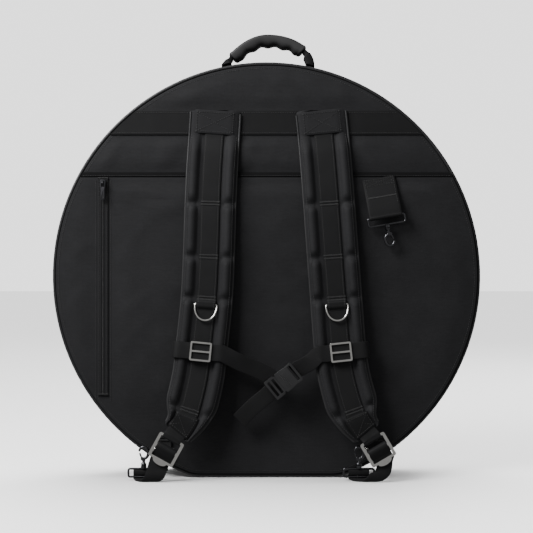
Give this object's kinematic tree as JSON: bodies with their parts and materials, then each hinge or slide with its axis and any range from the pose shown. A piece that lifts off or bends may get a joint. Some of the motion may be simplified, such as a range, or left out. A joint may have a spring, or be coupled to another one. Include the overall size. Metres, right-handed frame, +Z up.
{
  "type": "cymbal bag",
  "caption": "Round padded cymbal bag with a zipped front lid, moulded grip handle, padded shoulder straps, chest buckle, metal rings and swivel hooks.",
  "frame": {"origin": "on the floor, at the middle of the ribbed base guard", "axes": "+Z up, -Y towards the shoulder straps, +Y towards the lid, +X to the right when the straps are seen"},
  "size_m": [0.6324, 0.1553, 0.6577],
  "materials": {
    "black_polyester": "matt woven polyester",
    "grey_lining": "soft lining over foam",
    "black_webbing": "ribbed woven webbing",
    "black_piping": "cloth-covered cord",
    "black_rubber": "matt moulded rubber",
    "black_plastic": "moulded acetal",
    "zip_tape": "woven tape with moulded chain",
    "black_zip_metal": "black lacquered die casting",
    "bright_nickel": "bright nickel plate on steel",
    "black_nickel": "black nickel plate on die casting"
  },
  "bodies": {
    "case": {"back_panel": "black_polyester", "back_piping": "black_piping", "rear_gusset": "black_polyester", "base_gusset": "black_polyester", "base_guard": "black_rubber", "body_zip_tape": "zip_tape", "top_band": "black_webbing", "pocket_panel": "black_polyester", "pocket_binding": "black_webbing", "pocket_zip_tape": "zip_tape", "handle_patch": "black_webbing", "gusset_tab_left": "black_webbing", "gusset_tab_right": "black_webbing", "front_lower_panel": "black_polyester"},
    "lid": {"lid_gusset": "black_polyester", "lid_panel": "black_polyester", "lid_piping": "black_piping", "lid_zip_tape": "zip_tape", "front_pocket_panel": "black_polyester", "front_pocket_zip_tape": "zip_tape"},
    "divider_rear": {"divider_rear": "grey_lining"},
    "divider_front": {"divider_front": "grey_lining"},
    "main_slider_left": {"main_slider_left": "black_zip_metal"},
    "main_slider_right": {"main_slider_right": "black_zip_metal"},
    "main_pull_left": {"main_pull_left": "black_zip_metal"},
    "main_pull_right": {"main_pull_right": "black_zip_metal"},
    "pocket_slider": {"pocket_slider": "black_zip_metal"},
    "pocket_pull": {"pocket_pull": "black_zip_metal"},
    "front_pocket_slider": {"front_pocket_slider": "black_zip_metal"},
    "front_pocket_pull": {"front_pocket_pull": "black_zip_metal"},
    "handle": {"handle_webbing": "black_webbing", "handle_grip": "black_rubber"},
    "strap_left": {"strap_pad_left": "black_polyester", "strap_webbing_left": "black_webbing", "ladder_lock_left": "bright_nickel", "adjuster_webbing_left": "black_webbing", "hook_frame_left": "black_nickel"},
    "strap_right": {"strap_pad_right": "black_polyester", "strap_webbing_right": "black_webbing", "ladder_lock_right": "bright_nickel", "adjuster_webbing_right": "black_webbing", "hook_frame_right": "black_nickel"},
    "strap_ring_left": {"strap_ring_left": "bright_nickel"},
    "strap_ring_right": {"strap_ring_right": "bright_nickel"},
    "sternum_left": {"sternum_slider_left": "bright_nickel", "sternum_webbing_left": "black_webbing"},
    "sternum_right": {"sternum_slider_right": "bright_nickel", "sternum_webbing_right": "black_webbing", "buckle_female": "black_plastic"},
    "buckle_male": {"buckle_male": "black_plastic"},
    "snap_hook_left": {"snap_hook_left": "black_nickel"},
    "snap_hook_right": {"snap_hook_right": "black_nickel"},
    "snap_hook_shoulder": {"snap_hook_shoulder": "black_nickel"},
    "hook_gate_left": {"hook_gate_left": "black_nickel"},
    "hook_gate_right": {"hook_gate_right": "black_nickel"},
    "hook_gate_shoulder": {"hook_gate_shoulder": "black_nickel"},
    "shoulder_tab": {"shoulder_tab": "black_webbing", "hook_frame_shoulder": "black_nickel"},
    "gusset_ring_left": {"gusset_ring_left": "bright_nickel"},
    "gusset_ring_right": {"gusset_ring_right": "bright_nickel"}
  },
  "joints": [
    {"name": "lid_hinge", "type": "hinge", "parent": "case", "child": "lid", "pos_m": [0, 0.045, 0.06673], "axis": [-1, 0, 0], "range_deg": [0, 95]},
    {"name": "divider_rear_lean", "type": "hinge", "parent": "case", "child": "divider_rear", "pos_m": [0, -0.012, 0.0165], "axis": [-1, 0, 0], "range_deg": [0, 10]},
    {"name": "divider_front_lean", "type": "hinge", "parent": "case", "child": "divider_front", "pos_m": [0, 0.006, 0.0165], "axis": [-1, 0, 0], "range_deg": [0, 20]},
    {"name": "main_slider_left_run", "type": "hinge", "parent": "case", "child": "main_slider_left", "pos_m": [0, 0.014, 0.298], "axis": [0, 1, 0], "range_deg": [-160, 0]},
    {"name": "main_slider_right_run", "type": "hinge", "parent": "case", "child": "main_slider_right", "pos_m": [0, 0.014, 0.298], "axis": [0, 1, 0], "range_deg": [0, 108]},
    {"name": "main_pull_left_lift", "type": "hinge", "parent": "main_slider_left", "child": "main_pull_left", "pos_m": [0.1304, 0.014, 0.59088], "axis": [0, 1, 0], "range_deg": [0, 170]},
    {"name": "main_pull_right_lift", "type": "hinge", "parent": "main_slider_right", "child": "main_pull_right", "pos_m": [0.15051, 0.014, 0.58107], "axis": [0, -1, 0], "range_deg": [0, 170]},
    {"name": "pocket_slider_run", "type": "slide", "parent": "case", "child": "pocket_slider", "axis": [0, 0, -1], "range_m": [0, 0.29]},
    {"name": "pocket_pull_lift", "type": "hinge", "parent": "pocket_slider", "child": "pocket_pull", "pos_m": [-0.241, -0.0557, 0.4347], "axis": [-1, 0, 0], "range_deg": [0, 170]},
    {"name": "front_pocket_slider_run", "type": "slide", "parent": "lid", "child": "front_pocket_slider", "axis": [-1, 0, 0], "range_m": [0, 0.47]},
    {"name": "front_pocket_pull_lift", "type": "hinge", "parent": "front_pocket_slider", "child": "front_pocket_pull", "pos_m": [0.23873, 0.0567, 0.4], "axis": [0, 0, -1], "range_deg": [0, 170]},
    {"name": "handle_fold", "type": "hinge", "parent": "case", "child": "handle", "pos_m": [0.002, -0.017, 0.63042], "axis": [1, 0, 0], "range_deg": [-60, 60]},
    {"name": "strap_left_swing", "type": "hinge", "parent": "case", "child": "strap_left", "pos_m": [-0.074, -0.0475, 0.5424], "axis": [-1, 0, 0], "range_deg": [0, 90]},
    {"name": "strap_right_swing", "type": "hinge", "parent": "case", "child": "strap_right", "pos_m": [0.074, -0.0475, 0.5424], "axis": [-1, 0, 0], "range_deg": [0, 90]},
    {"name": "strap_ring_left_lift", "type": "hinge", "parent": "strap_left", "child": "strap_ring_left", "pos_m": [-0.08811, -0.07325, 0.25695], "axis": [-0.9965, 0.0053, 0.0838], "range_deg": [0, 90]},
    {"name": "strap_ring_right_lift", "type": "hinge", "parent": "strap_right", "child": "strap_ring_right", "pos_m": [0.10234, -0.07327, 0.25657], "axis": [-0.9975, -0.0044, -0.0703], "range_deg": [0, 90]},
    {"name": "chest_strap_left_height", "type": "slide", "parent": "strap_left", "child": "sternum_left", "axis": [0, 0.0922, 0.9957], "range_m": [-0.008, 0.008]},
    {"name": "chest_strap_right_height", "type": "slide", "parent": "strap_right", "child": "sternum_right", "axis": [0, 0.0922, 0.9957], "range_m": [-0.008, 0.008]},
    {"name": "buckle_release", "type": "slide", "parent": "sternum_left", "child": "buckle_male", "axis": [-0.7771, 0, -0.6293], "range_m": [0, 0.03]},
    {"name": "snap_hook_left_swivel", "type": "hinge", "parent": "strap_left", "child": "snap_hook_left", "pos_m": [-0.179, -0.072, 0.0229], "axis": [0, 0, 1], "continuous": true},
    {"name": "snap_hook_right_swivel", "type": "hinge", "parent": "strap_right", "child": "snap_hook_right", "pos_m": [0.1345, -0.072, 0.0229], "axis": [0, 0, 1], "continuous": true},
    {"name": "shoulder_tab_lift", "type": "hinge", "parent": "case", "child": "shoulder_tab", "pos_m": [0.165, -0.0505, 0.4425], "axis": [-0.9855, 0, -0.1694], "range_deg": [0, 120]},
    {"name": "snap_hook_shoulder_swivel", "type": "hinge", "parent": "shoulder_tab", "child": "snap_hook_shoulder", "pos_m": [0.17773, -0.0633, 0.36845], "axis": [-0.1694, 0, 0.9855], "continuous": true},
    {"name": "hook_gate_left_open", "type": "hinge", "parent": "snap_hook_left", "child": "hook_gate_left", "pos_m": [-0.18172, -0.072, 0.0321], "axis": [0, 1, 0], "range_deg": [0, 35], "stiffness_Nm_per_rad": 0.02},
    {"name": "hook_gate_right_open", "type": "hinge", "parent": "snap_hook_right", "child": "hook_gate_right", "pos_m": [0.13178, -0.072, 0.0321], "axis": [0, 1, 0], "range_deg": [0, 35], "stiffness_Nm_per_rad": 0.02},
    {"name": "hook_gate_shoulder_open", "type": "hinge", "parent": "snap_hook_shoulder", "child": "hook_gate_shoulder", "pos_m": [0.18197, -0.0633, 0.35984], "axis": [0, 1, 0], "range_deg": [0, 35], "stiffness_Nm_per_rad": 0.02},
    {"name": "gusset_ring_left_lift", "type": "hinge", "parent": "case", "child": "gusset_ring_left", "pos_m": [-0.151, -0.052, 0.044], "axis": [-1, 0, 0], "range_deg": [0, 100]},
    {"name": "gusset_ring_right_lift", "type": "hinge", "parent": "case", "child": "gusset_ring_right", "pos_m": [0.161, -0.052, 0.044], "axis": [-1, 0, 0], "range_deg": [0, 100]}
  ],
  "couplings": [
    {"joint": "divider_rear_lean", "follows": "lid_hinge", "ratio": 0.1},
    {"joint": "divider_front_lean", "follows": "lid_hinge", "ratio": 0.2},
    {"joint": "strap_right_swing", "follows": "strap_left_swing", "ratio": 1},
    {"joint": "chest_strap_right_height", "follows": "chest_strap_left_height", "ratio": 1}
  ]
}
